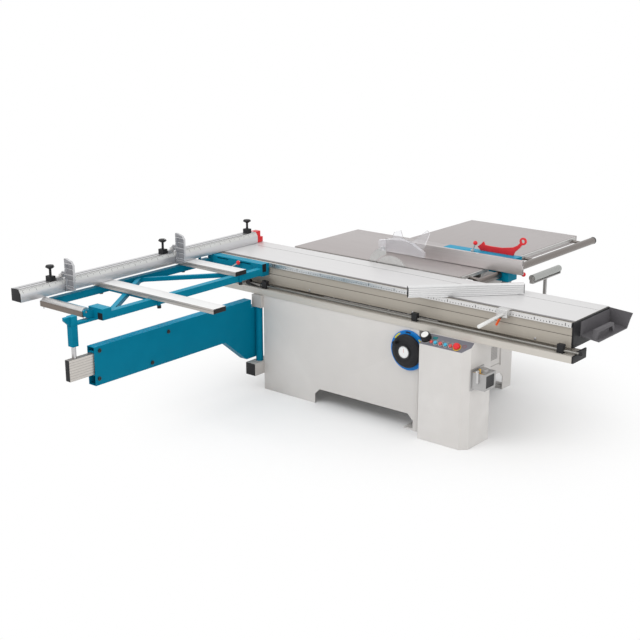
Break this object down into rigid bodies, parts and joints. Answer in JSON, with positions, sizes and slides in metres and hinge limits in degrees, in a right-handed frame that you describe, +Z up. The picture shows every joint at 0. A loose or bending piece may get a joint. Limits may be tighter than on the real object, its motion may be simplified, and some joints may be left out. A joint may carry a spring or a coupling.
{
  "type": "sliding table saw",
  "caption": "Floor-standing sliding table saw: cabinet with a tilting circular saw unit, long sliding carriage, outrigger crosscut table with fence and stops, and a rip fence on a round bar",
  "frame": {"origin": "centre of the cabinet's footprint on the floor, which is the centre of its anchor holes", "axes": "+X along the slide towards the operator's end, +Y across the machine towards the rip fence, +Z up"},
  "size_m": [3.012, 3.84, 1.1648],
  "materials": {
    "cabinet_paint": "satin powder coat",
    "teal_paint": "satin powder coat",
    "ring_blue": "moulded plastic",
    "inner_steel": "painted casting",
    "support_steel": "painted steel",
    "table_iron": "ground table surface",
    "beam_alu": "anodised extrusion",
    "carriage_alu": "anodised extrusion",
    "bright_alu": "brushed extrusion",
    "black_plastic": "moulded plastic",
    "rod_steel": "bright drawn steel",
    "saddle_steel": "machined steel",
    "blade_steel": "ground saw plate",
    "clear_plastic": "clear polycarbonate",
    "motor_paint": "painted casting",
    "belt_rubber": "ribbed belt",
    "pump_alu": "die casting",
    "red_plastic": "moulded plastic",
    "blue_plastic": "moulded plastic",
    "orange_plastic": "moulded plastic"
  },
  "bodies": {
    "base": {"cabinet": "cabinet_paint", "trunnion_brackets": "inner_steel", "table_supports": "support_steel", "main_table": "table_iron", "extension_table": "table_iron", "guide_bar": "rod_steel", "beam": "beam_alu", "beam_fittings": "black_plastic", "arm_brackets": "bright_alu", "control_box": "cabinet_paint", "handwheel_ring": "ring_blue", "oil_pump": "pump_alu"},
    "sliding_carriage": {"carriage": "carriage_alu", "edge_rail": "bright_alu", "carriage_ends": "black_plastic"},
    "crosscut_table": {"crosscut_frame": "teal_paint"},
    "fence_assembly": {"crosscut_fence": "bright_alu", "splinter_block": "red_plastic"},
    "arm": {"swing_arm": "teal_paint"},
    "arm_extension": {"telescopic_tube": "bright_alu", "post": "teal_paint"},
    "cradle": {"trunnion": "inner_steel"},
    "lift": {"arbor_slide": "inner_steel", "riving_knife": "saddle_steel", "main_motor": "motor_paint", "drive_belt": "belt_rubber"},
    "arbor": {"main_arbor": "rod_steel", "main_blade": "blade_steel"},
    "guard": {"blade_guard": "clear_plastic"},
    "rip_carriage": {"rip_body": "teal_paint", "push_stick": "red_plastic"},
    "rip_face": {"rip_plate": "bright_alu"},
    "stop_a": {"stop_1": "black_plastic"},
    "flag_a": {"flag_1": "bright_alu"},
    "stop_b": {"stop_2": "black_plastic"},
    "flag_b": {"flag_2": "bright_alu"},
    "bar_a": {"support_bar_1": "bright_alu"},
    "bar_b": {"support_bar_2": "bright_alu"},
    "mitre": {"mitre_fence": "bright_alu"},
    "handle": {"push_handle": "bright_alu"},
    "handle_clamp": {"push_lever": "orange_plastic"},
    "door": {"service_door": "cabinet_paint"},
    "table_lock": {"lock_rod": "rod_steel"},
    "frame_clamp": {"ball_lever": "rod_steel"},
    "rip_clamp": {"rip_lever": "rod_steel"},
    "rip_lock_lever": {"rip_lock": "rod_steel"},
    "outer_roller": {"end_roller": "rod_steel"},
    "side_roller": {"infeed_roller": "rod_steel"},
    "scoring": {"scoring_arbor": "blade_steel"},
    "motor_rotor": {"motor_pulley": "rod_steel"},
    "screw": {"lift_screw": "rod_steel"},
    "saddle": {"roller_saddle": "saddle_steel"},
    "wheel": {"handwheel": "black_plastic"},
    "pump_handle": {"pump_lever": "rod_steel"},
    "knob": {"control_knob": "black_plastic"},
    "key_1": {"button_1": "blue_plastic"},
    "key_2": {"button_2": "red_plastic"},
    "key_3": {"button_3": "blue_plastic"},
    "key_4": {"button_4": "red_plastic"},
    "stop_key": {"stop_button": "red_plastic"}
  },
  "joints": [
    {"name": "carriage_slide", "type": "slide", "parent": "base", "child": "sliding_carriage", "axis": [1, 0, 0], "range_m": [-1.74, 1.36]},
    {"name": "tilt", "type": "hinge", "parent": "base", "child": "cradle", "pos_m": [0, -0.034, 0.89], "axis": [-1, 0, 0], "range_deg": [0, 45]},
    {"name": "raise", "type": "slide", "parent": "cradle", "child": "lift", "axis": [0, 0, 1], "range_m": [-0.07, 0.01]},
    {"name": "rip_slide", "type": "slide", "parent": "base", "child": "rip_carriage", "axis": [0, 1, 0], "range_m": [-0.09, 1.05]},
    {"name": "rip_plate_slide", "type": "slide", "parent": "rip_carriage", "child": "rip_face", "axis": [1, 0, 0], "range_m": [-0.35, 0.25]},
    {"name": "frame_slide", "type": "slide", "parent": "sliding_carriage", "child": "crosscut_table", "axis": [1, 0, 0], "range_m": [0, 0.6]},
    {"name": "fence_swivel", "type": "hinge", "parent": "crosscut_table", "child": "fence_assembly", "pos_m": [-1.155, -0.6643, 0.89], "axis": [0, 0, 1], "range_deg": [-45, 45]},
    {"name": "arm_extend", "type": "slide", "parent": "arm", "child": "arm_extension", "axis": [0, -1, 0], "range_m": [0, 0.84]},
    {"name": "guard_lift", "type": "hinge", "parent": "lift", "child": "guard", "pos_m": [-0.04096, -0.034, 0.98683], "axis": [0, -1, 0], "range_deg": [0, 60]},
    {"name": "stop_1_slide", "type": "slide", "parent": "fence_assembly", "child": "stop_a", "axis": [0, 1, 0], "range_m": [-0.15, 0.35]},
    {"name": "stop_2_slide", "type": "slide", "parent": "fence_assembly", "child": "stop_b", "axis": [0, 1, 0], "range_m": [-0.3, 0.5]},
    {"name": "flag_1_flip", "type": "hinge", "parent": "stop_a", "child": "flag_a", "pos_m": [-1.136, -1.9, 0.995], "axis": [0, -1, 0], "range_deg": [0, 100]},
    {"name": "flag_2_flip", "type": "hinge", "parent": "stop_b", "child": "flag_b", "pos_m": [-1.136, -0.955, 0.995], "axis": [0, -1, 0], "range_deg": [0, 100]},
    {"name": "bar_1_slide", "type": "slide", "parent": "crosscut_table", "child": "bar_a", "axis": [0, 1, 0], "range_m": [-0.05, 0.34]},
    {"name": "bar_2_slide", "type": "slide", "parent": "crosscut_table", "child": "bar_b", "axis": [0, 1, 0], "range_m": [-0.21, 0.06]},
    {"name": "mitre_turn", "type": "hinge", "parent": "sliding_carriage", "child": "mitre", "pos_m": [0.765, -0.488, 0.89], "axis": [0, 0, 1], "range_deg": [-20, 12]},
    {"name": "handle_slide", "type": "slide", "parent": "sliding_carriage", "child": "handle", "axis": [1, 0, 0], "range_m": [-0.24, 0.34]},
    {"name": "handle_clamp_turn", "type": "hinge", "parent": "handle", "child": "handle_clamp", "pos_m": [1.18375, -0.5253, 0.845], "axis": [0, 0, 1], "range_deg": [-60, 60]},
    {"name": "door_swing", "type": "hinge", "parent": "base", "child": "door", "pos_m": [0.651, 0.415, 0.4], "axis": [0, 0, 1], "range_deg": [0, 110]},
    {"name": "table_lock_turn", "type": "hinge", "parent": "base", "child": "table_lock", "pos_m": [0, -0.546, 0.73211], "axis": [1, 0, 0], "range_deg": [-40, 40]},
    {"name": "frame_clamp_turn", "type": "hinge", "parent": "crosscut_table", "child": "frame_clamp", "pos_m": [-0.93005, -0.5783, 0.828], "axis": [0, 1, 0], "range_deg": [-30, 30]},
    {"name": "rip_clamp_turn", "type": "hinge", "parent": "rip_carriage", "child": "rip_clamp", "pos_m": [0.461, 0.3043, 0.985], "axis": [0, 0, 1], "range_deg": [-50, 50]},
    {"name": "rip_lock_turn", "type": "hinge", "parent": "rip_carriage", "child": "rip_lock_lever", "pos_m": [0.79, 0.3023, 0.897], "axis": [1, 0, 0], "range_deg": [-70, 70]},
    {"name": "arbor_spin", "type": "hinge", "parent": "lift", "child": "arbor", "pos_m": [0.04, -0.034, 0.805], "axis": [0, 1, 0], "continuous": true},
    {"name": "scoring_spin", "type": "hinge", "parent": "cradle", "child": "scoring", "pos_m": [0.275, -0.034, 0.832], "axis": [0, 1, 0], "continuous": true},
    {"name": "outer_roller_spin", "type": "hinge", "parent": "crosscut_table", "child": "outer_roller", "pos_m": [-0.92, -2.0403, 0.864], "axis": [1, 0, 0], "continuous": true},
    {"name": "side_roller_spin", "type": "hinge", "parent": "base", "child": "side_roller", "pos_m": [0.91, 0.506, 0.865], "axis": [0, 1, 0], "continuous": true},
    {"name": "knob_turn", "type": "hinge", "parent": "base", "child": "knob", "pos_m": [0.73395, -0.621, 0.64704], "axis": [0, -0.5698, 0.8218], "range_deg": [-135, 135]},
    {"name": "button_1_press", "type": "slide", "parent": "base", "child": "key_1", "axis": [0, 0.5698, -0.8218], "range_m": [0, 0.004], "stiffness_N_per_m": 800},
    {"name": "button_2_press", "type": "slide", "parent": "base", "child": "key_2", "axis": [0, 0.5698, -0.8218], "range_m": [0, 0.004], "stiffness_N_per_m": 800},
    {"name": "button_3_press", "type": "slide", "parent": "base", "child": "key_3", "axis": [0, 0.5698, -0.8218], "range_m": [0, 0.004], "stiffness_N_per_m": 800},
    {"name": "button_4_press", "type": "slide", "parent": "base", "child": "key_4", "axis": [0, 0.5698, -0.8218], "range_m": [0, 0.004], "stiffness_N_per_m": 800},
    {"name": "stop_button_press", "type": "slide", "parent": "base", "child": "stop_key", "axis": [0, 0.5698, -0.8218], "range_m": [0, 0.005]},
    {"name": "pump_lever_swing", "type": "hinge", "parent": "base", "child": "pump_handle", "pos_m": [1.102, -0.608, 0.4445], "axis": [0, 1, 0], "range_deg": [-18, 60]},
    {"name": "arm_swing", "type": "hinge", "parent": "base", "child": "arm", "pos_m": [-0.687, -0.573, 0.4], "axis": [0, 0, 1], "range_deg": [-54, 43]},
    {"name": "saddle_slide", "type": "slide", "parent": "base", "child": "saddle", "axis": [1, 0, 0], "range_m": [-0.9, 0.72]},
    {"name": "wheel_turn", "type": "hinge", "parent": "base", "child": "wheel", "pos_m": [0.5715, -0.034, 0.528], "axis": [0, 1, 0], "range_deg": [-2200, 2200]},
    {"name": "screw_turn", "type": "hinge", "parent": "cradle", "child": "screw", "pos_m": [0.112, 0.04, 0.6], "axis": [0, 0, 1], "range_deg": [-2600, 400]},
    {"name": "motor_spin", "type": "hinge", "parent": "lift", "child": "motor_rotor", "pos_m": [0.04, 0.097, 0.56], "axis": [0, 1, 0], "continuous": true}
  ],
  "couplings": [
    {"joint": "arm_swing", "follows": "carriage_slide", "rad_per_m": 0.518},
    {"joint": "saddle_slide", "follows": "carriage_slide", "ratio": 0.5},
    {"joint": "wheel_turn", "follows": "tilt", "ratio": 48},
    {"joint": "screw_turn", "follows": "raise", "rad_per_m": 628.32},
    {"joint": "motor_spin", "follows": "arbor_spin", "ratio": 0.75}
  ]
}
